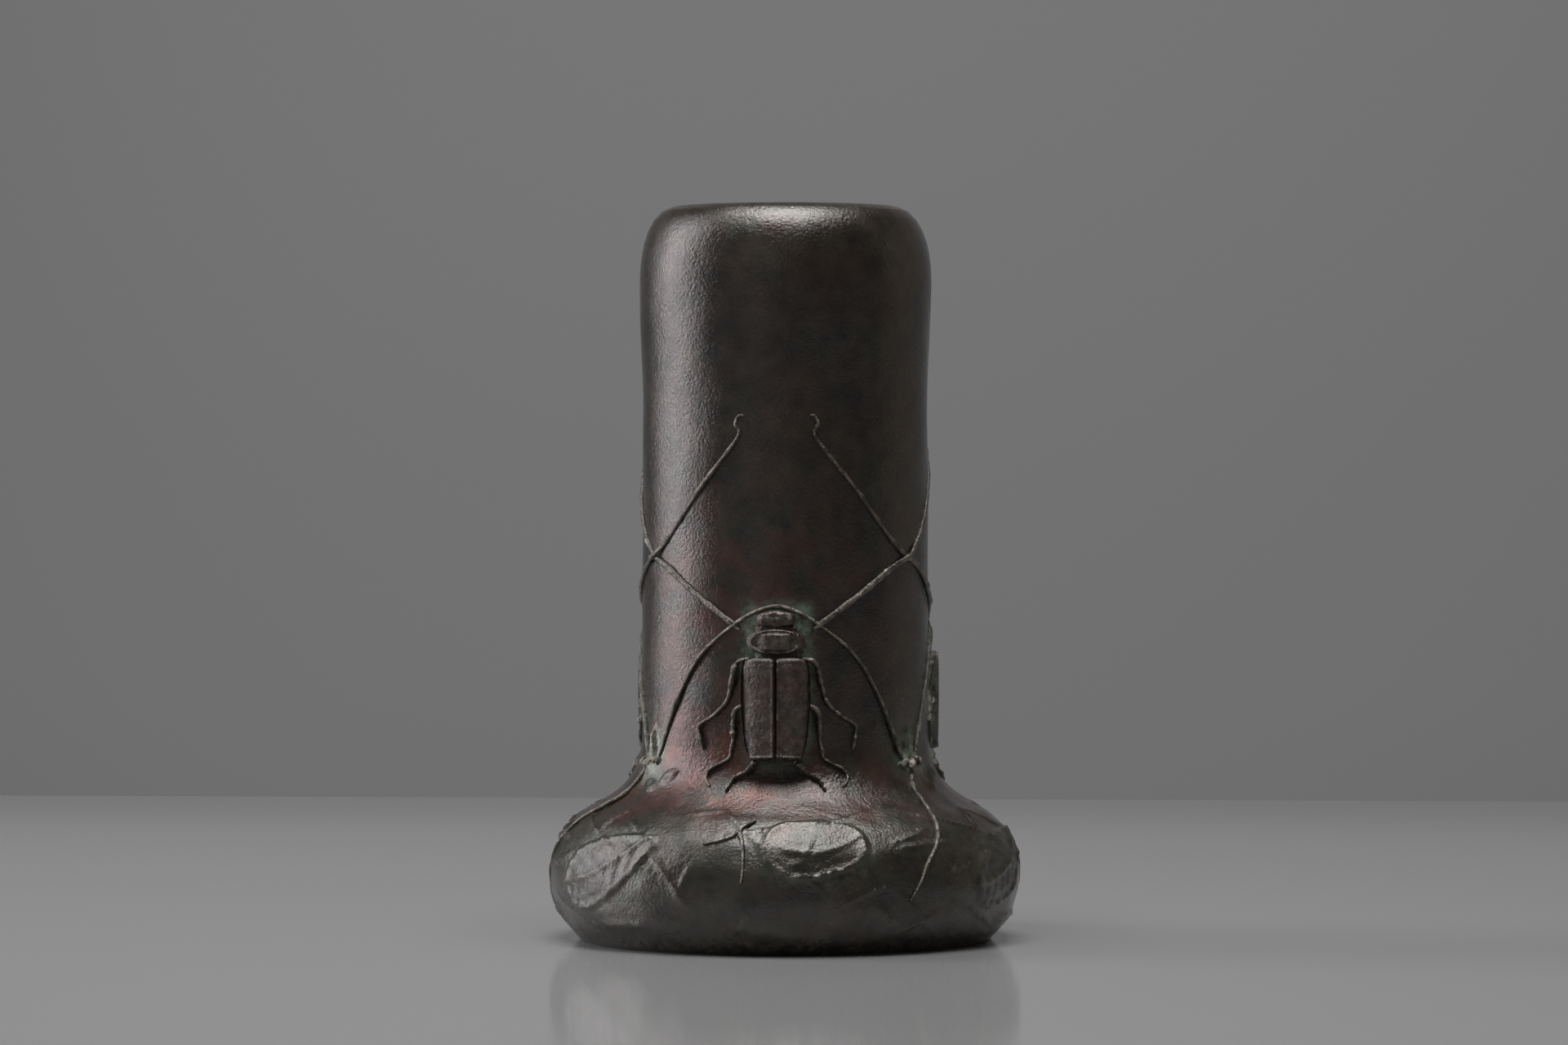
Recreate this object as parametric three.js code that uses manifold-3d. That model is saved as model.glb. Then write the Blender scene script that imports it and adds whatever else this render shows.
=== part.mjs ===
// A cast bronze vase of about 1900: a tall tube with an incurved lip on a squat, cushion-shaped foot.
// Three longhorn beetles climb the tube, each under an arch of stem. Their feelers run up the tube and cross
// their neighbours' feelers, and leaves lie on the shoulder of the foot.
// Units are millimetres, +Z is up, and the origin is the centre of the resting face. The front beetle faces -Y.
import * as THREE from "three";
import { mergeVertices } from "three/addons/utils/BufferGeometryUtils.js";
import Module from "manifold-3d";

const wasm = await Module();
wasm.setup();

// Vase body
const VASE_HEIGHT = 170;
const WALL = 2.8;
const TUBE_RADIUS = 33.1;
const COLLAR_SWELL = 0.85; // how far the collar under the lip stands out past the tube
const COLLAR_DEPTH = 18; // from the collar's widest ring up to the top of the lip
const COLLAR_TAPER = 30; // the length over which the tube widens into the collar
const LIP_TURN = 7.7; // how far the lip turns in from the collar's widest ring
const LIP_EDGE = 2.6; // the width of the lip's rounded edge
const FOOT_RADIUS = 54.5;
const FOOT_BELLY_HEIGHT = 15; // height of the foot's widest ring
const FOOT_SHOULDER_HEIGHT = 30.8;
const FOOT_SHOULDER_DROP = 9.7; // how far the shoulder lies inside the widest ring
const FLARE_HEIGHT = 46; // where the flare above the foot runs out into the tube
const REST_INSET = 6.9; // how far the resting edge lies inside the widest ring

// Base plate, let into a rebate under the foot
const REST_WIDTH = 3.6; // width of the flat ring that the vase stands on
const PLATE_RECESS = 1.2; // from the resting face up to the plate
const PLATE_THICKNESS = 2.4;
const PLATE_CLEARANCE = 0.3;
const LEDGE_WIDTH = 2.5; // the ledge that the plate seats against
const LEDGE_THICKNESS = 1.8;
const PLATE_EDGE_BREAK = 0.5;

// Relief
const SEAT_GAP = 0.3; // between the wall and each piece of relief that lies on it
const BEETLE_NAMES = ["front", "right", "left"];
const BEETLE_PITCH = 360 / BEETLE_NAMES.length; // degrees
const BEETLE_GIRTH_HEIGHT = 65; // the wing cases' middle, measured up along the wall from the resting edge

// Beetle
const WING_LENGTH = 24.2;
const WING_HALF_WIDTH = 7.3;
const WING_THICKNESS = 1.9;
const WING_CROWN = 0.8; // how much lower the wing cases' outer edges are than their seam
const SEAM_GAP = 0.3;
const TRUNK_HALF_WIDTH = 5;
const TRUNK_HEIGHT = 2.3; // the trunk under the wing cases
const NECK_GAP = 0.4; // between wing cases, pronotum and head
const PRONOTUM_LENGTH = 6;
const PRONOTUM_HALF_WIDTH = 6.3;
const PRONOTUM_HEIGHT = 3.3;
const PRONOTUM_BOSS = 0.5; // the raised middle of the pronotum
const HEAD_LENGTH = 3.4;
const HEAD_HALF_WIDTH = 4.1;
const HEAD_HEIGHT = 2.4;
const FEELER_WIDTH = 1.7;
const FEELER_HEIGHT = 0.9;
const LEG_WIDTH = 1.3;
const LEG_HEIGHT = 1.1;

// Stems and leaves
const ARCH_RISE = 36.2;
const ARCH_OVER_HEAD = 0.7; // clear space between the head and the arch
const ARCH_FOOT_SHARE = 0.915; // half the arch's span, as a share of half the pitch
const STEM_WIDTH = 1.2;
const STEM_HEIGHT = 0.9;
const KNOT_HEIGHT = 1.5;
const KNOT_HALF_WIDTH = 4.4;
const KNOT_TONGUE = 8; // the leaf tongue that rises between two arches
const BROAD_LEAF_HALF_WIDTH = 12.5;
const BROAD_LEAF_HALF_HEIGHT = 7.8;
const LONG_LEAF_HALF_WIDTH = 17;
const LONG_LEAF_HALF_HEIGHT = 8;
const LEAF_HEIGHT = 1;

// Facets
const TURN_SEGMENTS = 72;
const PLATE_SEGMENTS = 48;

const bronze = new THREE.MeshStandardMaterial({ color: 0x3b332c, roughness: 0.42, metalness: 0.9 });
const beetleBronze = new THREE.MeshStandardMaterial({ color: 0x40312a, roughness: 0.45, metalness: 0.9 });
const foliageBronze = new THREE.MeshStandardMaterial({ color: 0x3a3a30, roughness: 0.5, metalness: 0.8 });
const plateBronze = new THREE.MeshStandardMaterial({ color: 0x4a3a2a, roughness: 0.6, metalness: 0.8 });

const vase = new THREE.Group();

function addPiece(name, geometry, material) {
  const mesh = new THREE.Mesh(geometry, material);
  mesh.name = name;
  vase.add(mesh);
  return mesh;
}

// Outline of the wall, from the resting edge up to the top of the lip: x is the radius and y the height.
function makeOutline() {
  const rest = new THREE.Vector2(FOOT_RADIUS - REST_INSET, 0);
  const belly = new THREE.Vector2(FOOT_RADIUS, FOOT_BELLY_HEIGHT);
  const shoulder = new THREE.Vector2(FOOT_RADIUS - FOOT_SHOULDER_DROP, FOOT_SHOULDER_HEIGHT);
  const flare = new THREE.Vector2(TUBE_RADIUS + 0.3, FLARE_HEIGHT);
  const collar = new THREE.Vector2(TUBE_RADIUS + COLLAR_SWELL, VASE_HEIGHT - COLLAR_DEPTH);
  const neck = new THREE.Vector2(TUBE_RADIUS, collar.y - COLLAR_TAPER);
  const lip = new THREE.Vector2(collar.x - LIP_TURN, VASE_HEIGHT);
  const drop = belly.x - shoulder.x;
  const rise = shoulder.y - belly.y;
  const waist = shoulder.x - flare.x;
  const climb = flare.y - shoulder.y;
  const outline = new THREE.CurvePath();
  const arc = (a, b, c, d) => outline.add(new THREE.CubicBezierCurve(a, b, c, d));
  const at = (x, y) => new THREE.Vector2(x, y);
  arc(rest, at(rest.x + REST_INSET * 0.42, belly.y * 0.2), at(belly.x, belly.y * 0.57), belly);
  arc(belly, at(belly.x, belly.y + rise * 0.48), at(shoulder.x + drop * 0.64, shoulder.y - rise * 0.21), shoulder);
  arc(shoulder, at(shoulder.x - waist * 0.46, shoulder.y + climb * 0.19), at(flare.x + waist * 0.07, shoulder.y + climb * 0.41), flare);
  arc(flare, at(TUBE_RADIUS + 0.05, flare.y + 9), at(TUBE_RADIUS + 0.2, neck.y - 27), neck);
  arc(neck, at(neck.x - 0.1, neck.y + COLLAR_TAPER * 0.4), at(collar.x, neck.y + COLLAR_TAPER * 0.67), collar);
  arc(collar, at(collar.x, collar.y + COLLAR_DEPTH * 0.58), at(lip.x + LIP_TURN * 0.6, VASE_HEIGHT - 0.8), lip);
  return outline;
}

const outline = makeOutline();

// The outline's stations: place, outward normal, and girth, which is the length along the wall from the resting edge.
function outlineStations(counts) {
  const stations = [];
  let girth = 0;
  outline.curves.forEach((curve, i) => {
    for (let k = i ? 1 : 0; k <= counts[i]; k++) {
      const place = curve.getPoint(k / counts[i]);
      const along = curve.getTangent(k / counts[i]);
      if (stations.length) girth += place.distanceTo(stations.at(-1).place);
      stations.push({ place, normal: new THREE.Vector2(along.y, -along.x), girth });
    }
  });
  return stations;
}

const wallStations = outlineStations([40, 40, 40, 20, 20, 40]);

// The wall's radius, height and normal at a girth.
function wallAt(girth) {
  let i = 1;
  while (i < wallStations.length - 1 && wallStations[i].girth < girth) i++;
  const low = wallStations[i - 1];
  const high = wallStations[i];
  const share = (girth - low.girth) / (high.girth - low.girth);
  return { place: low.place.clone().lerp(high.place, share), normal: low.normal.clone().lerp(high.normal, share).normalize() };
}

// A point near the wall: azimuth in degrees from the front towards +X, girth, and how far off the wall it stands.
function onWall(azimuth, girth, off) {
  const { place, normal } = wallAt(girth);
  const radius = place.x + normal.x * off;
  const turn = THREE.MathUtils.degToRad(azimuth);
  return new THREE.Vector3(radius * Math.sin(turn), -radius * Math.cos(turn), place.y + normal.y * off);
}

// A place given in flat millimetres around a point on the wall: x runs round the vase and y up the wall.
function nearby(centre, x, y, off) {
  const girth = centre.girth + y;
  return onWall(centre.azimuth + THREE.MathUtils.radToDeg(x / wallAt(girth).place.x), girth, off);
}

function meshOf(vertices, faces) {
  const geometry = new THREE.BufferGeometry().setFromPoints(vertices);
  geometry.setIndex(faces);
  geometry.computeVertexNormals();
  return geometry;
}

// Joins a stack of vertex rings into a closed skin, with a fan to a pole at each end.
function skin(rings, firstPole, lastPole) {
  const sides = rings[0].length;
  const vertices = [...rings.flat(), firstPole, lastPole];
  const first = vertices.length - 2;
  const faces = [];
  for (let r = 0; r < rings.length - 1; r++)
    for (let k = 0; k < sides; k++) {
      const a = r * sides + k;
      const b = r * sides + ((k + 1) % sides);
      faces.push(a, b, b + sides, a, b + sides, a + sides);
    }
  const top = (rings.length - 1) * sides;
  for (let k = 0; k < sides; k++) {
    const next = (k + 1) % sides;
    faces.push(first, next, k, first + 1, top + k, top + next);
  }
  return meshOf(vertices, faces);
}

function toSolid(geometry) {
  const bare = geometry.clone();
  bare.deleteAttribute("normal");
  bare.deleteAttribute("uv");
  const merged = mergeVertices(bare, 1e-3);
  const triVerts = new Uint32Array(merged.index.array);
  return new wasm.Manifold(new wasm.Mesh({ numProp: 3, vertProperties: merged.attributes.position.array, triVerts }));
}

function fuse(...geometries) {
  const solid = geometries.map(toSolid).reduce((whole, piece) => whole.add(piece));
  const { vertProperties, triVerts } = solid.getMesh();
  const geometry = new THREE.BufferGeometry();
  geometry.setAttribute("position", new THREE.BufferAttribute(vertProperties, 3));
  geometry.setIndex(new THREE.BufferAttribute(triVerts, 1));
  geometry.computeVertexNormals();
  return geometry;
}

// A raised line laid on the wall along (azimuth, girth) points, smooth between them. At each share of its length and
// its azimuth there, form gives its width, its height and how far its flat underside stands off the wall.
function ridge(points, steps, form) {
  const middle = points[0][0];
  const scale = THREE.MathUtils.degToRad(1) * wallAt(points[0][1]).place.x;
  const flat = points.map(([azimuth, girth]) => new THREE.Vector3((azimuth - middle) * scale, girth, 0));
  const route = new THREE.CatmullRomCurve3(flat, false, "centripetal");
  const placeAt = (share) => route.getPointAt(THREE.MathUtils.clamp(share, 0, 1));
  const azimuthAt = (share) => middle + placeAt(share).x / scale;
  const wallPoint = (share, off) => onWall(azimuthAt(share), placeAt(share).y, off);
  const rings = [];
  for (let i = 0; i <= steps; i++) {
    const share = i / steps;
    const { width, height, lift } = form(share, azimuthAt(share));
    const foot = wallPoint(share, SEAT_GAP + lift);
    const along = wallPoint(share + 0.01, 0).sub(wallPoint(share - 0.01, 0)).normalize();
    const out = wallPoint(share, 1).sub(wallPoint(share, 0)).normalize();
    const side = new THREE.Vector3().crossVectors(along, out).normalize();
    const corner = (x, y) => foot.clone().addScaledVector(side, x * width).addScaledVector(out, y * height);
    rings.push([corner(-0.5, 0), corner(-0.36, 0.7), corner(0, 1), corner(0.36, 0.7), corner(0.5, 0)]);
  }
  const centreOf = (ring) => ring.reduce((sum, p) => sum.add(p), new THREE.Vector3()).divideScalar(ring.length);
  return skin(rings, centreOf(rings[0]), centreOf(rings.at(-1)));
}

// A pad of relief: an outline in flat millimetres round a centre on the wall, with a top and an underside that
// follow the wall. Its rings are the outline drawn in by each share, and top gives the height at a place and share.
function pad(centre, shape, sides, shares, underside, top) {
  const edge = shape.getSpacedPoints(sides).slice(0, sides);
  if (THREE.ShapeUtils.isClockWise(edge)) edge.reverse();
  const middle = edge.reduce((sum, p) => sum.add(p), new THREE.Vector2()).divideScalar(sides);
  const ringAt = (share, off) =>
    edge.map((p) => {
      const place = middle.clone().lerp(p, share);
      return nearby(centre, place.x, place.y, off(place, share));
    });
  const below = () => underside;
  const rings = [...shares.map((share) => ringAt(share, below)), ...shares.toReversed().map((share) => ringAt(share, top))];
  return skin(rings, nearby(centre, middle.x, middle.y, underside), nearby(centre, middle.x, middle.y, top(middle, 0)));
}

// The cast body is one revolved wall, open at the mouth and under the foot, with a rebate for the base plate.
function castBody() {
  const outer = outlineStations([5, 6, 6, 3, 4, 6]);
  const ledgeBottom = PLATE_RECESS + PLATE_THICKNESS + PLATE_CLEARANCE;
  const ledgeTop = ledgeBottom + LEDGE_THICKNESS;
  const restInner = outer[0].place.x - REST_WIDTH;
  const inner = outer
    .map(({ place, normal }) => place.clone().addScaledVector(normal, -WALL))
    .filter((p, i) => p.y > ledgeTop + 0.8 && i < outer.length - 2)
    .reverse();
  const lip = outer.at(-1).place;
  const mouth = new THREE.CubicBezierCurve(
    lip,
    new THREE.Vector2(lip.x - LIP_EDGE * 0.6, lip.y),
    new THREE.Vector2(lip.x - LIP_EDGE, lip.y - WALL * 0.3),
    new THREE.Vector2(lip.x - LIP_EDGE, lip.y - WALL * 0.8),
  );
  const profile = [
    ...outer.map(({ place }) => place),
    ...mouth.getPoints(4).slice(1),
    ...inner,
    new THREE.Vector2(restInner - LEDGE_WIDTH, ledgeTop),
    new THREE.Vector2(restInner - LEDGE_WIDTH, ledgeBottom),
    new THREE.Vector2(restInner, ledgeBottom),
    new THREE.Vector2(restInner, 0),
    outer[0].place,
  ];
  return new THREE.LatheGeometry(profile, TURN_SEGMENTS).rotateX(Math.PI / 2);
}

// The base plate is a disc with broken edges, seated under the ledge of the foot.
function basePlate() {
  const radius = FOOT_RADIUS - REST_INSET - REST_WIDTH - PLATE_CLEARANCE;
  const profile = [
    new THREE.Vector2(0, 0),
    new THREE.Vector2(radius - PLATE_EDGE_BREAK, 0),
    new THREE.Vector2(radius, PLATE_EDGE_BREAK),
    new THREE.Vector2(radius, PLATE_THICKNESS - PLATE_EDGE_BREAK),
    new THREE.Vector2(radius - PLATE_EDGE_BREAK, PLATE_THICKNESS),
    new THREE.Vector2(0, PLATE_THICKNESS),
  ];
  return new THREE.LatheGeometry(profile, PLATE_SEGMENTS).rotateX(Math.PI / 2);
}

function ellipse(x, y, halfWidth, halfHeight) {
  return new THREE.Shape().absellipse(x, y, halfWidth, halfHeight, 0, Math.PI * 2);
}

// One wing case, on the side that is 1 or -1: straight along the seam, full at the shoulder, cut square at the tip.
function wingCaseShape(side) {
  const half = WING_LENGTH / 2;
  const w = WING_HALF_WIDTH * side;
  const seam = (SEAM_GAP / 2) * side;
  return new THREE.Shape()
    .moveTo(seam, -half)
    .lineTo(w * 0.72, -half)
    .bezierCurveTo(w * 0.92, -half * 0.66, w * 1.03, -half * 0.2, w, half * 0.2)
    .bezierCurveTo(w * 0.97, half * 0.6, w * 0.95, half * 0.75, w * 0.9, half * 0.88)
    .quadraticCurveTo(w * 0.86, half, w * 0.68, half)
    .lineTo(seam, half)
    .closePath();
}

// A leg is a route in flat millimetres from the wing cases' middle, for the right side: thigh, shin and foot.
const LEG_ROUTES = {
  fore: [[5.9, 11.2], [8.6, 10.4], [10.3, 6.0], [11.6, 1.9], [14.6, -1.1], [18.2, -3.3], [18.5, -5.6], [17.7, -9.4]],
  middle: [[5.8, 1.8], [8.7, 0.5], [9.8, -3.4], [10.3, -8.6], [11.6, -11.4], [15.4, -13.6], [16.6, -15.9], [15.5, -18.2]],
  hind: [[4.2, -12.8], [6.2, -14.2], [9.4, -16.0], [11.2, -18.8]],
};

function legForm(share) {
  const taper = 1 - 0.55 * share;
  return { width: LEG_WIDTH * taper, height: LEG_HEIGHT * taper, lift: 1.1 * Math.max(0, 1 - share * 2.2) };
}

// A feeler leaves the side of the head, crosses the next beetle's feeler over the knot between them, and ends in a
// small hook beyond it. Its azimuths are shares of the pitch and its heights are above the wing cases' middle.
const FEELER_ROUTE = [
  [0.165, 22.8], [0.225, 24.9], [0.3125, 27.8], [0.4, 31.3], [0.47, 34.0], [0.52, 35.6], [0.583, 38.8],
  [0.658, 44.2], [0.733, 50.5], [0.825, 57.8], [0.877, 62.6], [0.862, 65.0], [0.878, 66.9], [0.9, 66.6],
];
const CROSSING_HALF = 10; // degrees either side of the crossing in which the upper feeler is lifted

// One feeler of each beetle rises over the next beetle's feeler where they cross.
function feelerForm(crossing, rising) {
  return (share, azimuth) => {
    const near = Math.max(0, 1 - Math.abs(azimuth - crossing) / CROSSING_HALF);
    const lift = rising ? (FEELER_HEIGHT + SEAT_GAP) * Math.min(1, near * 1.9) : 0;
    return { width: FEELER_WIDTH * (1 - 0.5 * share), height: FEELER_HEIGHT * (1 - 0.35 * share), lift };
  };
}

function addBeetle(name, azimuth) {
  const centre = { azimuth, girth: BEETLE_GIRTH_HEIGHT };
  const piece = (part, geometry) => addPiece(`beetle_${name}_${part}`, geometry, beetleBronze);
  const wingBase = SEAT_GAP + TRUNK_HEIGHT + SEAT_GAP;
  const trunk = ellipse(0, 0, TRUNK_HALF_WIDTH, WING_LENGTH / 2 - 0.6);
  const trunkTop = (p, share) => SEAT_GAP + TRUNK_HEIGHT * (share === 1 ? 0.75 : 1);
  piece("trunk", pad(centre, trunk, 16, [0.7, 1], SEAT_GAP, trunkTop));

  const wingTop = (p, share) => {
    const fall = WING_CROWN * (p.x / WING_HALF_WIDTH) ** 2;
    return wingBase + WING_THICKNESS - fall - (share === 1 ? 0.5 : 0);
  };
  for (const [side, hand] of [[1, "right"], [-1, "left"]])
    piece(`wing_case_${hand}`, pad(centre, wingCaseShape(side), 20, [0.5, 0.86, 1], wingBase, wingTop));

  const pronotumMiddle = WING_LENGTH / 2 + NECK_GAP + PRONOTUM_LENGTH / 2;
  const pronotumRise = { 1: 0.45, 0.82: 0.8, 0.56: 0.9, 0.46: 0.9 };
  const pronotumTop = (p, share) =>
    SEAT_GAP + PRONOTUM_HEIGHT * (pronotumRise[share] ?? 0.9) + (share < 0.5 ? PRONOTUM_BOSS : 0);
  const pronotum = ellipse(0, pronotumMiddle, PRONOTUM_HALF_WIDTH, PRONOTUM_LENGTH / 2);
  piece("pronotum", pad(centre, pronotum, 18, [0.46, 0.56, 0.82, 1], SEAT_GAP, pronotumTop));

  const headMiddle = pronotumMiddle + (PRONOTUM_LENGTH + HEAD_LENGTH) / 2 + NECK_GAP;
  const headTop = (p, share) => SEAT_GAP + HEAD_HEIGHT * (share === 1 ? 0.5 : 1);
  const head = ellipse(0, headMiddle, HEAD_HALF_WIDTH, HEAD_LENGTH / 2);
  piece("head", pad(centre, head, 16, [0.75, 1], SEAT_GAP, headTop));

  for (const [side, hand] of [[1, "right"], [-1, "left"]]) {
    const feeler = FEELER_ROUTE.map(([share, rise]) => [azimuth + side * share * BEETLE_PITCH, centre.girth + rise]);
    piece(`feeler_${hand}`, ridge(feeler, 30, feelerForm(azimuth + (side * BEETLE_PITCH) / 2, side > 0)));
    for (const [leg, route] of Object.entries(LEG_ROUTES)) {
      const points = route.map(([x, y]) => {
        const girth = centre.girth + y;
        return [azimuth + THREE.MathUtils.radToDeg((side * x) / wallAt(girth).place.x), girth];
      });
      piece(`${leg}_leg_${hand}`, ridge(points, leg === "hind" ? 5 : 9, legForm));
    }
  }
  return headMiddle + HEAD_LENGTH / 2 + ARCH_OVER_HEAD;
}

// The arch of stem over a beetle: a rounded gable from knot to knot.
function addArch(name, azimuth, apex) {
  const half = (BEETLE_PITCH / 2) * ARCH_FOOT_SHARE;
  const shares = [-1, -0.95, -0.85, -0.7, -0.5, -0.3, -0.14, 0, 0.14, 0.3, 0.5, 0.7, 0.85, 0.95, 1];
  const points = shares.map((u) => [azimuth + u * half, apex + STEM_WIDTH / 2 - ARCH_RISE * Math.abs(u) ** 2.2]);
  const form = (share) => {
    const thin = 1 - 0.3 * Math.abs(2 * share - 1);
    return { width: STEM_WIDTH * thin, height: STEM_HEIGHT * thin, lift: 0 };
  };
  addPiece(`arch_stem_${name}`, ridge(points, 40, form), foliageBronze);
}

// Between two beetles: a knot where the arches' feet meet, with a leaf tongue standing up between them and a stem
// that trails down over the foot.
function addKnot(name, azimuth, archFoot) {
  const centre = { azimuth, girth: archFoot };
  const w = KNOT_HALF_WIDTH;
  const shape = new THREE.Shape()
    .moveTo(-w, -2.6)
    .quadraticCurveTo(-w * 0.4, -0.9, -w * 0.27, 0.6)
    .quadraticCurveTo(-w * 0.2, KNOT_TONGUE * 0.6, 0, KNOT_TONGUE)
    .quadraticCurveTo(w * 0.2, KNOT_TONGUE * 0.6, w * 0.27, 0.6)
    .quadraticCurveTo(w * 0.4, -0.9, w, -1.6)
    .quadraticCurveTo(w * 0.5, -3.2, 0, -3.6)
    .quadraticCurveTo(-w * 0.6, -3.6, -w, -2.6);
  const top = (p, share) => SEAT_GAP + KNOT_HEIGHT * (share === 1 ? 0.35 : 1);
  addPiece(`knot_${name}`, pad(centre, shape, 24, [0.6, 1], SEAT_GAP, top), foliageBronze);
  const trail = [[-2, -5], [-4, -8], [-6, -12], [-9.5, -17], [-13, -22], [-17, -27], [-20.5, -31.5], [-23.5, -36], [-26, -40]];
  const points = trail.map(([turn, rise]) => [azimuth + turn, archFoot + rise]);
  const form = (share) => ({ width: STEM_WIDTH * (1.35 - 0.6 * share), height: STEM_HEIGHT * (1.2 - 0.6 * share), lift: 0 });
  addPiece(`trailing_stem_${name}`, ridge(points, 18, form), foliageBronze);
}

// The leaves on the foot: a broad leaf under the beetle, a long leaf to its left, and a forked twig between them.
function addFoliage(name, azimuth) {
  const leafTop = { 1: 0.4, 0.9: 1.05, 0.62: 0.8, 0.3: 0.85 };
  const rise = (p, share) => SEAT_GAP + LEAF_HEIGHT * (leafTop[share] ?? 1);
  const shares = [0.3, 0.62, 0.9, 1];
  const bw = BROAD_LEAF_HALF_WIDTH;
  const bh = BROAD_LEAF_HALF_HEIGHT;
  const broad = new THREE.Shape()
    .moveTo(-bw, 1.5)
    .bezierCurveTo(-bw * 0.95, -bh * 0.5, -bw * 0.35, -bh, bw * 0.15, -bh * 0.98)
    .bezierCurveTo(bw * 0.65, -bh * 0.95, bw, -bh * 0.45, bw, bh * 0.1)
    .bezierCurveTo(bw, bh * 0.55, bw * 0.6, bh * 1.05, bw * 0.2, bh)
    .bezierCurveTo(-bw * 0.1, bh * 0.95, -bw * 0.25, bh * 0.65, -bw * 0.45, bh * 0.62)
    .bezierCurveTo(-bw * 0.7, bh * 0.6, -bw, bh * 0.6, -bw, 1.5);
  const broadCentre = { azimuth: azimuth + 10.5, girth: 26.8 };
  addPiece(`broad_leaf_${name}`, pad(broadCentre, broad, 24, shares, SEAT_GAP, rise), foliageBronze);

  const lw = LONG_LEAF_HALF_WIDTH;
  const lh = LONG_LEAF_HALF_HEIGHT;
  const long = new THREE.Shape()
    .moveTo(-lw, -lh * 0.3)
    .bezierCurveTo(-lw * 0.9, -lh * 0.9, -lw * 0.3, -lh * 1.1, lw * 0.2, -lh * 0.85)
    .bezierCurveTo(lw * 0.6, -lh * 0.6, lw * 0.8, lh * 0.1, lw, lh * 0.6)
    .bezierCurveTo(lw * 0.6, lh * 0.85, lw * 0.1, lh * 0.75, -lw * 0.2, lh * 0.95)
    .bezierCurveTo(-lw * 0.6, lh * 1.1, -lw * 1.05, lh * 0.5, -lw, -lh * 0.3);
  const longCentre = { azimuth: azimuth - 47, girth: 21 };
  addPiece(`long_leaf_${name}`, pad(longCentre, long, 26, shares, SEAT_GAP, rise), foliageBronze);

  const turned = (points) => points.map(([turn, girth]) => [azimuth + turn, girth]);
  const form = (share) => ({ width: STEM_WIDTH * (1 - 0.45 * share), height: STEM_HEIGHT * (1 - 0.4 * share), lift: 0 });
  const stalk = ridge(turned([[-4.6, 36.6], [-6, 34.6], [-8.2, 31.8], [-7.6, 27.8], [-7.2, 22.6], [-7.6, 18.4]]), 9, form);
  const fork = ridge(turned([[-8.2, 31.6], [-11.5, 29.4], [-14.6, 28.2], [-18, 27.6]]), 5, form);
  addPiece(`twig_${name}`, fuse(stalk, fork), foliageBronze);
}

addPiece("vase_body", castBody(), bronze);
addPiece("base_plate", basePlate(), plateBronze).position.z = PLATE_RECESS;

BEETLE_NAMES.forEach((name, i) => {
  const azimuth = i === 2 ? -BEETLE_PITCH : i * BEETLE_PITCH;
  const apex = BEETLE_GIRTH_HEIGHT + addBeetle(name, azimuth);
  addArch(name, azimuth, apex);
  addKnot(name, azimuth + BEETLE_PITCH / 2, apex + STEM_WIDTH / 2 - ARCH_RISE);
  addFoliage(name, azimuth);
});

export default vase;
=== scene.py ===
import logging
import math
from dataclasses import dataclass, field
from enum import Enum
from typing import Callable, Optional, Union

import bpy
import numpy as np
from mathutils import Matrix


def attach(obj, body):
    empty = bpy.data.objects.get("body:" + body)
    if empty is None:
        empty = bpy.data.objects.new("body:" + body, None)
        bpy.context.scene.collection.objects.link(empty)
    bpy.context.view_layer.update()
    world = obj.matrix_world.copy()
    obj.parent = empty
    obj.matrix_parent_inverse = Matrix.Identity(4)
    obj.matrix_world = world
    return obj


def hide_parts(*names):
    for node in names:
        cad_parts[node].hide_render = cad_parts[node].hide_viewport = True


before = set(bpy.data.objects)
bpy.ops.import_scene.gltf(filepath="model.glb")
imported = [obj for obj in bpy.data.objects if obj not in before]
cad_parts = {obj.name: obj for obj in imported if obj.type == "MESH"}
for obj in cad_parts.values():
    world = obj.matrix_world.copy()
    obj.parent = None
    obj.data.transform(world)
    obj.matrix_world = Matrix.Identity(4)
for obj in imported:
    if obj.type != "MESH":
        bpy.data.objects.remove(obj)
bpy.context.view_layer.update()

LOG = logging.getLogger("vase")
MM = 0.001  # metres in a millimetre
MERGE_DISTANCE = 2e-6
MARKS = ("green", "wear", "warm", "rough")  # values kept for each point, for the finishes
BEETLES = {"front": 0.0, "right": 120.0, "left": -120.0}  # azimuth of each beetle in degrees
PITCH = 120.0  # degrees from beetle to beetle
WING_FOOT, WING_TOP = 52.8, 77.1  # girths of the wing cases' ends
HANDS = ((1, "right"), (-1, "left"))
MIX_INPUTS, MIX_RESULT = (0, 6, 7), 2  # the mix node's sockets for its amount and colours

Array = np.ndarray
Socket = bpy.types.NodeSocket
Value = Union[Socket, float, tuple]
Edges = Callable[[Array], tuple]
Curve = Callable[[Array], Array]
Surface = Callable[[Array, Array], Array]


class Slot(Enum):
    """Material slots of the record."""

    WALL = "wall_bronze"
    BEETLE = "beetle_bronze"
    FOLIAGE = "foliage_bronze"
    PLATE = "plate_bronze"


def smoothstep(low: float, high: float, value: Array) -> Array:
    """Eases from 0 to 1 between two values.

    Args:
        low: Value at which the result is 0.
        high: Value at which the result is 1.
        value: Values to ease.

    Returns:
        The eased values.
    """
    t = np.clip((value - low) / (high - low), 0.0, 1.0)
    return t * t * (3.0 - 2.0 * t)


def bell(distance: Array, width: float) -> Array:
    """A soft bump of height 1 round zero.

    Args:
        distance: Distance from the middle.
        width: Distance at which the bump has fallen to about a third.

    Returns:
        The bump's height.
    """
    return np.exp(-((distance / width) ** 2))


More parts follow.
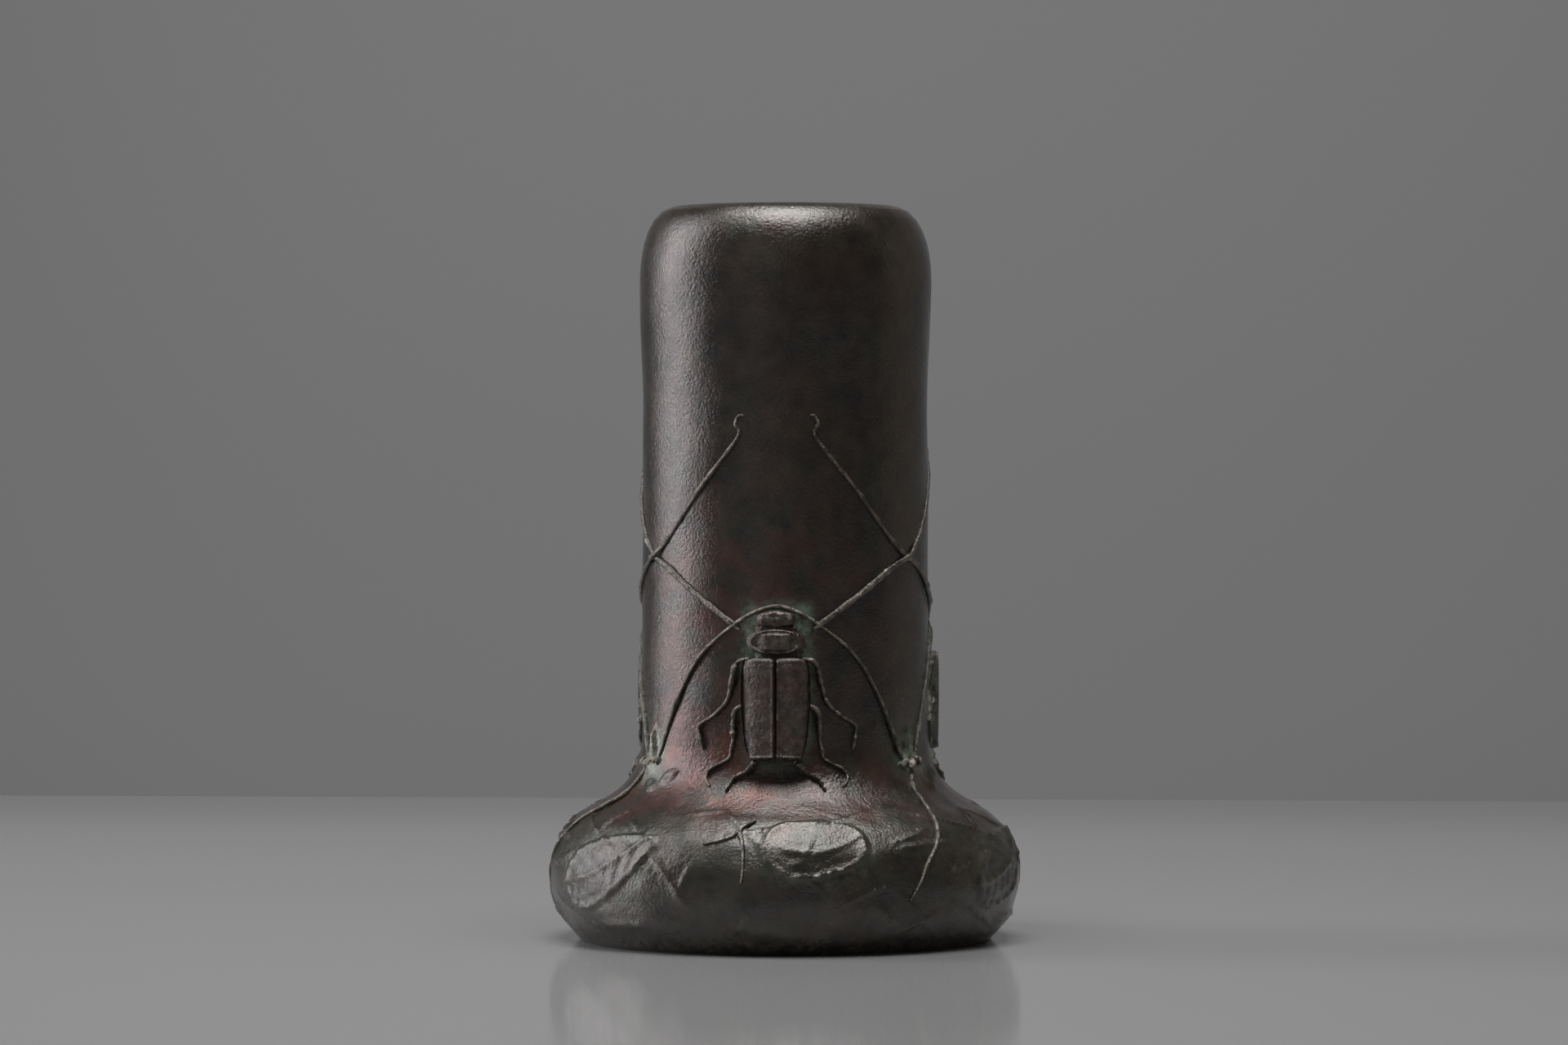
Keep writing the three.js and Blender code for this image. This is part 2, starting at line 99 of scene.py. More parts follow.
def nearest_turn(azimuth: Array, middle: float) -> Array:
    """Turns from a middle, the short way round.

    Args:
        azimuth: Degrees.
        middle: Degrees of the middle.

    Returns:
        Degrees between -180 and 180.
    """
    return (azimuth - middle + 180.0) % 360.0 - 180.0


@dataclass(frozen=True)
class Wall:
    """The vase's outer wall in millimetres, as cubic curves from the resting edge up to the lip."""

    curves: tuple = (
        ((47.6, 0), (50.5, 3), (54.5, 8.5), (54.5, 15)),
        ((54.5, 15), (54.5, 22.5), (51, 27.5), (44.8, 30.8)),
        ((44.8, 30.8), (39.6, 33.6), (34.2, 37), (33.4, 46)),
        ((33.4, 46), (33.15, 55), (33.3, 95), (33.05, 122)),
        ((33.05, 122), (32.95, 134), (33.95, 142), (33.95, 152)),
        ((33.95, 152), (33.95, 162.5), (30.8, 169.2), (26.2, 170)),
    )
    samples: int = 160
    table: dict = field(default_factory=dict)

    def __post_init__(self) -> None:
        """Samples the curves into a table by girth, the length along the wall."""
        t = np.linspace(0, 1, self.samples)[:, None]
        runs = []
        for a, b, c, d in (np.array(curve, float) for curve in self.curves):
            run = (1 - t) ** 3 * a + 3 * (1 - t) ** 2 * t * b + 3 * (1 - t) * t**2 * c + t**3 * d
            runs.append(run if not runs else run[1:])
        line = np.concatenate(runs)
        along = np.gradient(line, axis=0)
        along /= np.linalg.norm(along, axis=1)[:, None]
        steps = np.linalg.norm(np.diff(line, axis=0), axis=1)
        self.table.update(
            girth=np.concatenate([[0], np.cumsum(steps)]),
            r=line[:, 0],
            z=line[:, 1],
            nr=along[:, 1],
            nz=-along[:, 0],
        )

    def read(self, girth: Array, what: str) -> Array:
        """Looks up one column of the table.

        Args:
            girth: Length along the wall.
            what: Column, one of r, z, nr and nz.

        Returns:
            The column's values at those girths.
        """
        return np.interp(girth, self.table["girth"], self.table[what])

    def place(self, azimuth: Array, girth: Array, off: Array) -> Array:
        """Places points near the wall.

        Args:
            azimuth: Degrees from the front towards +X.
            girth: Length along the wall.
            off: How far the point stands off the wall.

        Returns:
            Points in metres.
        """
        azimuth, girth, off = np.broadcast_arrays(azimuth, girth, off)
        radius = self.read(girth, "r") + self.read(girth, "nr") * off
        height = self.read(girth, "z") + self.read(girth, "nz") * off
        turn = np.radians(azimuth)
        return np.stack([radius * np.sin(turn), -radius * np.cos(turn), height], -1) * MM

    def beside(self, azimuth: Array, x: Array, girth: Array, off: Array) -> Array:
        """Places points by millimetres round the wall from an azimuth.

        Args:
            azimuth: Degrees of the local origin.
            x: Millimetres round the wall.
            girth: Length along the wall.
            off: How far the point stands off the wall.

        Returns:
            Points in metres.
        """
        return self.place(azimuth + np.degrees(x / self.read(girth, "r")), girth, off)


WALL = Wall()


@dataclass(frozen=True)
class Cloud:
    """Noise with a range cut out: how fine and how detailed it is, and the values that become 0 and 1."""

    scale: float
    detail: float
    low: float
    high: float


class Graph:
    """A material's nodes."""

    def __init__(self, name: str) -> None:
        """Makes the material.

        Args:
            name: Name of the material.
        """
        self.material = bpy.data.materials.new(name)
        self.material.use_nodes = True
        self.tree = self.material.node_tree
        self.shader = self.tree.nodes["Principled BSDF"]

    def put(self, socket: Socket, value: Value) -> None:
        """Joins a socket to an output, or sets its number or colour.

        Args:
            socket: Input socket.
            value: Output socket, number or colour.
        """
        if isinstance(value, Socket):
            self.tree.links.new(value, socket)
        elif socket.type == "RGBA":
            socket.default_value = (*value, 1)
        else:
            socket.default_value = value

    def node(self, kind: str, inputs: Optional[dict] = None) -> bpy.types.Node:
        """Adds a node.

        Args:
            kind: Type of the node.
            inputs: Values of its inputs by name.

        Returns:
            The node.
        """
        new = self.tree.nodes.new(kind)
        for name, value in (inputs or {}).items():
            self.put(new.inputs[name], value)
        return new

    def ranged(self, value: Value, source: tuple = (0.0, 1.0), result: tuple = (0.0, 1.0)) -> Socket:
        """Maps a value from one range to another.

        Args:
            value: Value to map.
            source: Ends of the range that it comes from.
            result: Ends of the range that it is mapped to.

        Returns:
            The mapped value.
        """
        limits = dict(zip(("From Min", "From Max", "To Min", "To Max"), (*source, *result)))
        return self.node("ShaderNodeMapRange", {"Value": value, **limits}).outputs["Result"]

    def place(self) -> Socket:
        """Reads the place on the object.

        Returns:
            Object coordinates.
        """
        return self.node("ShaderNodeTexCoord").outputs["Object"]

    def noise(self, cloud: Cloud, roughness: float = 0.62) -> Socket:
        """Adds noise.

        Args:
            cloud: Fineness, detail and range.
            roughness: Share of the finer detail.

        Returns:
            Values from 0 to 1.
        """
        inputs = {"Vector": self.place(), "Scale": cloud.scale, "Detail": cloud.detail}
        source = self.node("ShaderNodeTexNoise", {**inputs, "Roughness": roughness})
        return self.ranged(source.outputs["Fac"], (cloud.low, cloud.high))

    def times(self, first: Value, second: Value) -> Socket:
        """Multiplies two values and keeps the product between 0 and 1.

        Args:
            first: One value.
            second: The other value.

        Returns:
            The product.
        """
        product = self.tree.nodes.new("ShaderNodeMath")
        product.operation = "MULTIPLY"
        product.use_clamp = True
        self.put(product.inputs[0], first)
        self.put(product.inputs[1], second)
        return product.outputs[0]

    def blend(self, amount: Value, under: Value, over: Value) -> Socket:
        """Lays one colour over another.

        Args:
            amount: How much of the upper colour shows.
            under: Lower colour.
            over: Upper colour.

        Returns:
            The mixed colour.
        """
        mix = self.tree.nodes.new("ShaderNodeMix")
        mix.data_type = "RGBA"
        for index, value in zip(MIX_INPUTS, (amount, under, over)):
            self.put(mix.inputs[index], value)
        return mix.outputs[MIX_RESULT]

    def mark(self, name: str) -> Socket:
        """Reads a value that the mesh keeps for each point.

        Args:
            name: One of MARKS.

        Returns:
            The value.
        """
        attribute = self.tree.nodes.new("ShaderNodeAttribute")
        attribute.attribute_name = name
        return attribute.outputs["Fac"]


@dataclass(frozen=True)
class Patina:
    """A patinated bronze finish. Colours are linear red, green and blue."""

    name: str
    dark: tuple
    mid: tuple
    warm: tuple = (0.095, 0.028, 0.018)
    verdigris: tuple = (0.2, 0.265, 0.19)
    worn: tuple = (0.32, 0.28, 0.22)
    roughness: float = 0.23
    coat: float = 0.6
    coat_roughness: float = 0.16
    skin: float = 0.09
    grain: float = 0.14
    mottle: Cloud = Cloud(190, 12, 0.36, 0.66)
    shade: Cloud = Cloud(45, 4, 0.45, 0.7)
    warm_patch: Cloud = Cloud(110, 9, 0.4, 0.62)
    green_patch: Cloud = Cloud(420, 9, 0.36, 0.6)
    edge_wear: Cloud = Cloud(600, 6, 0.35, 0.6)
    top_wear: Cloud = Cloud(500, 8, 0.42, 0.64)
    gloss: Cloud = Cloud(160, 9, 0.3, 0.7)
    peel: Cloud = Cloud(240, 6, 0.2, 0.8)
    fine: Cloud = Cloud(1500, 4, 0.2, 0.8)
    shade_share: float = 0.4
    sharp_edge: tuple = (0.53, 0.66)
    gloss_spread: tuple = (-0.07, 0.14)
    metal: tuple = (0.45, 0.85)
    pit_scale: float = 430.0
    pit_size: float = 0.22
    peel_depth: float = 0.0006
    grain_depth: float = 0.0003
    fine_share: float = 2.5
    rough_peel: float = 0.2
    rough_grain: float = 0.08

    def material(self) -> bpy.types.Material:
        """Builds the finish.

        Returns:
            A procedural material.
        """
        graph = Graph(self.name)
        inputs = graph.shader.inputs
        inputs["Coat Weight"].default_value = self.coat
        inputs["Coat Roughness"].default_value = self.coat_roughness
        worn = graph.times(graph.mark("wear"), graph.noise(self.top_wear))
        graph.put(inputs["Base Color"], self.colour(graph, worn))
        gloss = tuple(self.roughness + spread for spread in self.gloss_spread)
        graph.put(inputs["Roughness"], graph.ranged(graph.noise(self.gloss), result=gloss))
        graph.put(inputs["Metallic"], graph.ranged(worn, result=self.metal))
        normal = self.bumps(graph)
        graph.put(inputs["Normal"], normal)
        graph.put(inputs["Coat Normal"], normal)
        return graph.material

    def colour(self, graph: Graph, worn: Socket) -> Socket:
        """Layers the patina's colours.

        Args:
            graph: Nodes of the material.
            worn: Where bare metal shows.

        Returns:
            The colour.
        """
        colour = graph.blend(graph.noise(self.mottle), self.dark, self.mid)
        colour = graph.blend(graph.times(graph.noise(self.shade), self.shade_share), colour, self.dark)
        colour = graph.blend(graph.times(graph.mark("warm"), graph.noise(self.warm_patch)), colour, self.warm)
        green = graph.times(graph.mark("green"), graph.noise(self.green_patch))
        colour = graph.blend(green, colour, self.verdigris)
        edge = graph.ranged(graph.node("ShaderNodeNewGeometry").outputs["Pointiness"], self.sharp_edge)
        colour = graph.blend(graph.times(edge, graph.noise(self.edge_wear)), colour, self.worn)
        return graph.blend(worn, colour, self.worn)

    def bumps(self, graph: Graph) -> Socket:
        """Stacks the orange peel, the fine grain and the pits.

        Args:
            graph: Nodes of the material.

        Returns:
            The bumped normal.
        """
        pits = graph.node("ShaderNodeTexVoronoi", {"Vector": graph.place(), "Scale": self.pit_scale})
        grain = self.grain * self.fine_share
        rough = graph.mark("rough")
        layers = (
            (graph.ranged(rough, result=(self.skin, self.skin + self.rough_peel)), self.peel_depth,
             graph.noise(self.peel)),
            (graph.ranged(rough, result=(grain, grain + self.rough_grain)), self.grain_depth,
             graph.noise(self.fine)),
            (self.grain, self.grain_depth, graph.ranged(pits.outputs["Distance"], (0.0, self.pit_size))),
        )
        normal = None
        for strength, depth, height in layers:
            inputs = {"Strength": strength, "Distance": depth, "Height": height}
            bump = graph.node("ShaderNodeBump", inputs)
            if normal:
                graph.put(bump.inputs["Normal"], normal)
            normal = bump.outputs["Normal"]
        return normal


FINISHES = {
    Slot.WALL: Patina("patina_wall", (0.0125, 0.0112, 0.008), (0.038, 0.032, 0.0225)),
    Slot.BEETLE: Patina(
        "patina_beetle", (0.014, 0.0095, 0.007), (0.031, 0.0215, 0.0165), grain=0.3, skin=0.35
    ),
    Slot.FOLIAGE: Patina(
        "patina_foliage", (0.014, 0.012, 0.009), (0.03, 0.027, 0.02), grain=0.35, skin=0.5
    ),
    Slot.PLATE: Patina(
        "patina_plate", (0.03, 0.02, 0.012), (0.075, 0.05, 0.028), roughness=0.5, coat=0.0, skin=0.4
    ),
}
MATERIALS = {slot: finish.material() for slot, finish in FINISHES.items()}


class Piece:
    """A finished piece: a grid wrapped into a closed skin whose place is in its mesh."""

    def __init__(self, name: str, points: Array, slot: Slot, marks: dict, angle: float = 50.0) -> None:
        """Makes the mesh and finishes it.

        Args:
            name: Name of the object.
            points: Rows of points in metres; the last column closes on the first.
            slot: Material slot.
            marks: Named values for each point, between 0 and 1.
            angle: Edges sharper than this many degrees stay sharp.
        """
        rows, columns = points.shape[:2]
        bpy.ops.object.select_all(action="DESELECT")
        bpy.ops.mesh.primitive_grid_add(x_subdivisions=columns - 1, y_subdivisions=rows - 1, size=1)
        self.object = bpy.context.object
        self.object.name = name
        mesh = self.object.data
        mesh.name = name
        mesh.vertices.foreach_set("co", np.ascontiguousarray(points, np.float32).ravel())
        for mark in MARKS:
            values = np.broadcast_to(marks.get(mark, 0.0), (rows, columns))
            layer = mesh.attributes.new(mark, "FLOAT", "POINT")
            layer.data.foreach_set("value", np.ascontiguousarray(values, np.float32).ravel())
        bpy.ops.object.mode_set(mode="EDIT")
        bpy.ops.mesh.select_all(action="SELECT")
        bpy.ops.mesh.remove_doubles(threshold=MERGE_DISTANCE)
        bpy.ops.mesh.normals_make_consistent(inside=False)
        bpy.ops.object.mode_set(mode="OBJECT")
        bpy.ops.object.shade_smooth_by_angle(angle=math.radians(angle))
        mesh.materials.append(MATERIALS[slot])
        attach(self.object, "root")


@dataclass(frozen=True)
class Chart:
    """The wall round a beetle's middle line: turn from it in degrees, girth, and radius there."""

    turn: Array
    girth: Array
    radius: Array

    def local(self, spot: tuple, tilt: float = 0.0) -> tuple:
        """Gives flat coordinates round a spot.

        Args:
            spot: Turn and girth of the spot.
            tilt: Degrees by which the coordinates are turned.

        Returns:
            Millimetres along and across.
        """
        at, level = spot
        x = np.radians(nearest_turn(self.turn, at)) * self.radius
        y = self.girth - level
        c, s = math.cos(math.radians(tilt)), math.sin(math.radians(tilt))
        return x * c + y * s, y * c - x * s


@dataclass(frozen=True)
class Leaf:
    """A leaf in low relief, with a crisp rim round a flat middle."""

    spot: tuple
    tilt: float
    half: tuple
    power: float
    height: float
    slope: float = 1.2
    rim_inset: float = 0.7
    rim_width: float = 0.42
    pad_share: float = 0.3
    rim_share: float = 0.5

    def relief(self, x: Array, y: Array) -> Array:
        """Height of the leaf.

        Args:
            x: Millimetres along the leaf.
            y: Millimetres across the leaf.

        Returns:
            Millimetres above the wall.
        """
        reach = (np.abs(x / self.half[0]) ** self.power + np.abs(y / self.half[1]) ** self.power)
        inside = (1.0 - reach ** (1 / self.power)) * self.half[1]
        pad = self.pad_share * smoothstep(0.0, self.slope, inside)
        return self.height * (pad + self.rim_share * bell(inside - self.rim_inset, self.rim_width))


@dataclass(frozen=True)
class Body:
    """The cast wall with the leaves, the webs at the knots and the hand-worked surface."""

    turns: int = 448
    thickness: float = 2.8
    inner_rows: tuple = (180.5, 7.5, 24)
    outer_rows: tuple = ((0, 60, 92, False), (60, 92, 34, False), (92, 183.5, 34, True))
    inner_mark: float = 0.1
    lip: tuple = ((25.2, 169.75), (24.4, 169.0), (24.2, 168.0), (24.9, 166.9))
    seat: tuple = (
        (48.5, 6.6), (46.0, 5.9), (41.6, 5.7), (41.5, 5.4), (41.5, 4.1), (41.7, 3.9),
        (43.8, 3.9), (44.0, 3.7), (44.0, 0.3), (44.2, 0.05), (45.8, 0.0), (47.2, 0.0),
    )
    broad: Leaf = Leaf((10.5, 26.8), 4, (12.5, 7.8), 2.3, 1.15)
    long: Leaf = Leaf((-47, 21), 24, (17, 7.4), 2.0, 1.1)
    leaflets: tuple = (
        Leaf((-45, 49), 35, (3.4, 1.7), 2.0, 0.8),
        Leaf((-53, 46.6), -25, (3.0, 1.6), 2.0, 0.8),
    )
    knot: tuple = (-60, 52)
    mound_height: float = 0.35
    tendril_height: float = 0.4
    tendril_width: float = 0.055
    tendril_waves: tuple = ((3, 0.16, 1.5, 0.4), (-6, 0.21, 1.1, 1.9), (6, 0.07, 1.9, 4.0))
    ripple_height: float = 0.42
    dent_height: float = 0.14

    def broad_leaf(self, chart: Chart) -> Array:
        """The broad leaf under a beetle, with a lobed outline and two raised veins.

        Args:
            chart: The wall round the beetle.

        Returns:
            Millimetres above the wall.
        """
        x, y = chart.local(self.broad.spot, self.broad.tilt)
        lobes = 1 + 0.06 * np.sin(3 * np.arctan2(y, x) + 0.8)
        height = self.broad.relief(x / lobes, (y + 0.012 * x * x - 0.7) / lobes)
        inner = smoothstep(0.1, 0.3, height)
        height += 0.4 * inner * bell(y - 0.03 * x * x + 1.2, 0.45) * smoothstep(-9, -4, x)
        height += 0.35 * inner * bell(x - 0.5 * y + 1.5, 0.5) * smoothstep(5, 1, np.abs(y))
        return height

    def long_leaf(self, chart: Chart) -> Array:
        """The long leaf between two beetles, tapered, with a raised midrib and faint ribs.

        Args:
            chart: The wall round the beetle.

        Returns:
            Millimetres above the wall.
        """
        x, y = chart.local(self.long.spot, self.long.tilt)
        taper = 1 - 0.3 * np.clip(x / self.long.half[0], -1, 1)
        height = self.long.relief(x, y / taper)
        inner = smoothstep(0.1, 0.3, height)
        height += 0.45 * inner * bell(y + 0.4 - 0.012 * x * x, 0.45)
        height += 0.1 * inner * np.sin(x * 1.5 + np.abs(y) * 1.1)
        return height

    def knot_web(self, chart: Chart) -> Array:
        """The pointed web that stands over a knot, and the apron under it.

        Args:
            chart: The wall round the beetle.

        Returns:
            Millimetres above the wall.
        """
        x, y = chart.local(self.knot)
        point = smoothstep(0.0, 1.0, 2.9 * (1 - (y + 1) / 11.5) - np.abs(x))
        web = 1.2 * point * smoothstep(-3.2, -1.2, y)
        apron = 0.9 * bell(x, 5.2) * bell(y + 1.4, 2.1)
        return np.maximum(web, apron)

    def mound(self, chart: Chart) -> Array:
        """The low swelling under a beetle.

        Args:
            chart: The wall round the beetle.

        Returns:
            Millimetres above the wall.
        """
        across = smoothstep(9.5, 5.5, np.abs(np.radians(chart.turn) * chart.radius))
        along = smoothstep(50.5, 53.5, chart.girth) * smoothstep(88.5, 85.5, chart.girth)
        return self.mound_height * across * along

    def tendrils(self, turn: Array, girth: Array) -> Array:
        """Thin raised lines that wander over the foot.

        Args:
            turn: Azimuth in radians.
            girth: Length along the wall.

        Returns:
            Millimetres above the wall.
        """
        height = np.zeros_like(turn)
        for around, rise, bend, phase in self.tendril_waves:
            wave = np.sin(around * turn + rise * girth + bend * np.sin(3 * turn + phase + 0.12 * girth))
            patchy = smoothstep(-0.2, 0.5, np.sin(9 * turn + phase * 3 + 0.3 * girth))
            line = bell(wave, self.tendril_width * abs(around) / 3)
            height = np.maximum(height, self.tendril_height * line * patchy)
        return height * smoothstep(3, 9, girth) * smoothstep(44, 34, girth)

    def unevenness(self, turn: Array, girth: Array) -> Array:
        """The hand-worked surface: a ripple near the resting edge, slow wander, and dents in the foot.

        Args:
            turn: Azimuth in radians.
            girth: Length along the wall.

        Returns:
            Millimetres above the wall.
        """
        ripple = np.sin(9 * turn + 0.21 * girth + 1.3 * np.sin(4 * turn)) * bell(girth - 8, 5.0)
        slow = 0.07 * np.sin(5 * turn + 0.11 * girth)
        slow += 0.05 * np.sin(11 * turn - 0.23 * girth + 2 * np.sin(3 * turn))
        dents = np.sin(17 * turn + 0.5 * girth) * np.sin(13 * turn - 0.41 * girth) * smoothstep(60, 25, girth)
        calm = smoothstep(1.0, 7.0, girth) * smoothstep(183, 172, girth)
        return (self.ripple_height * ripple + slow + self.dent_height * dents) * calm

    def relief(self, azimuth: Array, girth: Array) -> Array:
        """Height of all the low relief.

        Args:
            azimuth: Degrees.
            girth: Length along the wall.

        Returns:
            Millimetres above the plain wall.
        """
        radius = WALL.read(girth, "r")
        total = np.zeros_like(azimuth)
        for middle in BEETLES.values():
            chart = Chart(nearest_turn(azimuth, middle), girth, radius)
            small = [leaf.relief(*chart.local(leaf.spot, leaf.tilt)) for leaf in self.leaflets]
            shapes = [total, self.broad_leaf(chart), self.long_leaf(chart), *small, self.knot_web(chart)]
            total = np.maximum.reduce(shapes) + self.mound(chart)
        turn = np.radians(azimuth)
        tendrils = self.tendrils(turn, girth)
        total = np.maximum(total, tendrils) + 0.35 * tendrils
        return total + self.unevenness(turn, girth)

    def verdigris(self, azimuth: Array, girth: Array) -> Array:
        """Where verdigris lies: round the beetles, at the knots and along the leaves' rims.

        Args:
            azimuth: Degrees.
            girth: Length along the wall.

        Returns:
            Values between 0 and 1.
        """
        radius = WALL.read(girth, "r")
        green = 0.05 * smoothstep(46, 30, girth)
        for middle in BEETLES.values():
            turn = nearest_turn(azimuth, middle)
            side = np.maximum(np.abs(np.radians(turn) * radius) - 6.2, 0.0)
            over = np.maximum.reduce([52.4 - girth, girth - 87.5, np.zeros_like(girth)])
            beetle = 0.9 * bell(np.hypot(side, over), 2.0) * smoothstep(50, 60, girth)
            away = np.radians(np.abs(turn) - PITCH / 2) * radius
            knot = bell(away, 4.0) * bell(girth - 54.0, 5.5)
            green = np.maximum.reduce([green, beetle, knot])
            for leaf in (self.broad, self.long):
                at, level = leaf.spot
                spread = np.hypot(np.radians(nearest_turn(turn, at)) * radius / 1.6, girth - level)
                green = np.maximum(green, 0.2 * bell(spread - 8.4, 1.8))
        return green

    def marks(self, azimuth: Array, girth: Array, relief: Array) -> dict:
        """Where verdigris, worn metal, red-brown patches and rough metal lie.

        Args:
            azimuth: Degrees.
            girth: Length along the wall.
            relief: Height of the relief there.

        Returns:
            Values between 0 and 1 by name.
        """
        tube = smoothstep(36, 50, girth) * smoothstep(128, 88, girth)
        flare = smoothstep(60, 40, girth) * smoothstep(26, 40, girth)
        warm = 0.45 * bell(nearest_turn(azimuth, -22), 42) * tube
        warm += 0.8 * bell(nearest_turn(azimuth, -32), 26) * bell(girth - 50, 11)
        warm += 0.3 * flare + 0.14
        wear = 0.22 * smoothstep(0.5, 0.85, relief) * smoothstep(60, 50, girth)
        wear += 0.3 * bell(girth - 2.0, 3.0)
        return {
            "green": self.verdigris(azimuth, girth),
            "warm": np.clip(warm, 0, 1),
            "wear": np.clip(wear, 0, 1),
            "rough": 0.22 + 0.78 * smoothstep(84, 44, girth),
        }

    def inside(self, azimuth: Array) -> Array:
        """Places the skin from the lip down the inside, round the plate's seat and under the resting ring.

        Args:
            azimuth: Degrees of each column.

        Returns:
            Rows of points in metres.
        """
        levels = np.linspace(*self.inner_rows)
        inner_r = WALL.read(levels, "r") - self.thickness * WALL.read(levels, "nr")
        inner_z = WALL.read(levels, "z") - self.thickness * WALL.read(levels, "nz")
        line = np.array([*self.lip, *zip(inner_r, inner_z), *self.seat])
        turn = np.radians(azimuth)[None, :]
        r, z = line[:, :1], line[:, 1:]
        return np.stack([r * np.sin(turn), -r * np.cos(turn), z + 0 * turn], -1) * MM

    def build(self) -> Piece:
        """Makes the wall as one closed skin, outside, over the lip, down the inside and under the foot.

        Returns:
            The wall.
        """
        levels = np.concatenate([np.linspace(*row[:3], endpoint=row[3]) for row in self.outer_rows])
        azimuth, girth = np.meshgrid(np.linspace(-180, 180, self.turns + 1), levels)
        height = self.relief(azimuth, girth)
        outer = WALL.place(azimuth, girth, height)
        inner = self.inside(azimuth[0])
        points = np.concatenate([outer, inner, outer[:1]])
        plain = np.full(inner.shape[:2], self.inner_mark)
        outer_marks = self.marks(azimuth, girth, height)
        marks = {name: np.concatenate([value, plain, value[:1]]) for name, value in outer_marks.items()}
        wall = Piece("vase_wall", points, Slot.WALL, marks)
        leaves = [f"{kind}_{name}" for name in BEETLES for kind in ("broad_leaf", "long_leaf")]
        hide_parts("vase_body", *leaves)
        return wall


@dataclass(frozen=True)
class Rod:
    """A rounded ridge along a route on the wall, sunk a little into it."""

    width: float
    height: float
    swell: Curve
    lift: Surface = lambda share, azimuth: 0.0 * share
    steps: int = 96
    sides: int = 14
    rough: float = 0.13
    draws: int = 26
    cap: float = 0.03
    middle: float = 0.3
    dense: int = 24
    warm: float = 0.15

    def route(self, points: list) -> Array:
        """Runs a smooth line through points.

        Args:
            points: Azimuth and girth of each point.

        Returns:
            Azimuth and girth at each step.
        """
        knots = np.array(points, float)
        ends = np.concatenate([[2 * knots[0] - knots[1]], knots, [2 * knots[-1] - knots[-2]]])
        t = np.linspace(0, len(knots) - 1, self.dense * len(knots))
        i = np.minimum(t.astype(int), len(knots) - 2)
        u = (t - i)[:, None]
        a, b, c, d = ends[i], ends[i + 1], ends[i + 2], ends[i + 3]
        square = (2 * a - 5 * b + 4 * c - d) * u**2
        cube = (3 * b - a - 3 * c + d) * u**3
        line = 0.5 * (2 * b + (c - a) * u + square + cube)
        flat = np.stack([np.radians(line[:, 0]) * WALL.read(line[:, 1], "r"), line[:, 1]], -1)
        length = np.concatenate([[0], np.cumsum(np.linalg.norm(np.diff(flat, axis=0), axis=1))])
        share = np.linspace(0, length[-1], self.steps)
        return np.stack([np.interp(share, length, line[:, k]) for k in (0, 1)], -1)

    def size(self, share: Array, seed: int) -> Array:
        """Gives the ridge's size along its length, uneven and rounded off at both ends.

        Args:
            share: Share of the length.
            seed: Seed of the unevenness.

        Returns:
            Factor on width and height.
        """
        draw = np.random.default_rng(seed)
        at = np.linspace(0, 1, self.draws)
        uneven = 1 + self.rough * np.interp(share, at, draw.normal(size=self.draws))
        past = np.clip(np.abs(share - 0.5) - (0.5 - self.cap), 0, self.cap) / self.cap
        close = np.sqrt(np.clip(1 - past**2, 0, 1))
        close[[0, -1]] = 0.0
        return self.swell(share) * uneven * close

    def build(self, name: str, points: list, slot: Slot, seed: int, green: float = 0.4,
              wear: float = 0.8) -> Piece:
        """Makes the ridge.

        Args:
            name: Name of the object.
            points: Azimuth and girth of each point of the route.
            slot: Material slot.
            seed: Seed of the unevenness.
            green: Verdigris low on the ridge.
            wear: Bare metal along its top.

        Returns:
            The ridge.
        """
        line = self.route(points)
        share = np.linspace(0, 1, self.steps)
        azimuth, girth = line[:, 0], line[:, 1]
        radius = WALL.read(girth, "r")
        step = np.stack([np.radians(np.gradient(azimuth)) * radius, np.gradient(girth)], -1)
        step /= np.linalg.norm(step, axis=1)[:, None]
        size = self.size(share, seed)
        angle = np.linspace(0, 2 * np.pi, self.sides + 1)[None, :]
        across = 0.5 * self.width * size[:, None] * np.cos(angle)
        lift = self.lift(share, azimuth)[:, None]
        rise = self.middle + (1 - self.middle) * np.sin(angle)
        off = lift + self.height * size[:, None] * rise
        level = girth[:, None] - across * step[:, :1]
        place = WALL.beside(azimuth[:, None], across * step[:, 1:], level, off)
        top = np.sin(angle) + 0 * share[:, None]
        marks = {
            "wear": wear * smoothstep(0.55, 1.0, top),
            "green": green * smoothstep(0.5, -0.2, top),
            "warm": self.warm,
        }
        return Piece(name, place, slot, marks)


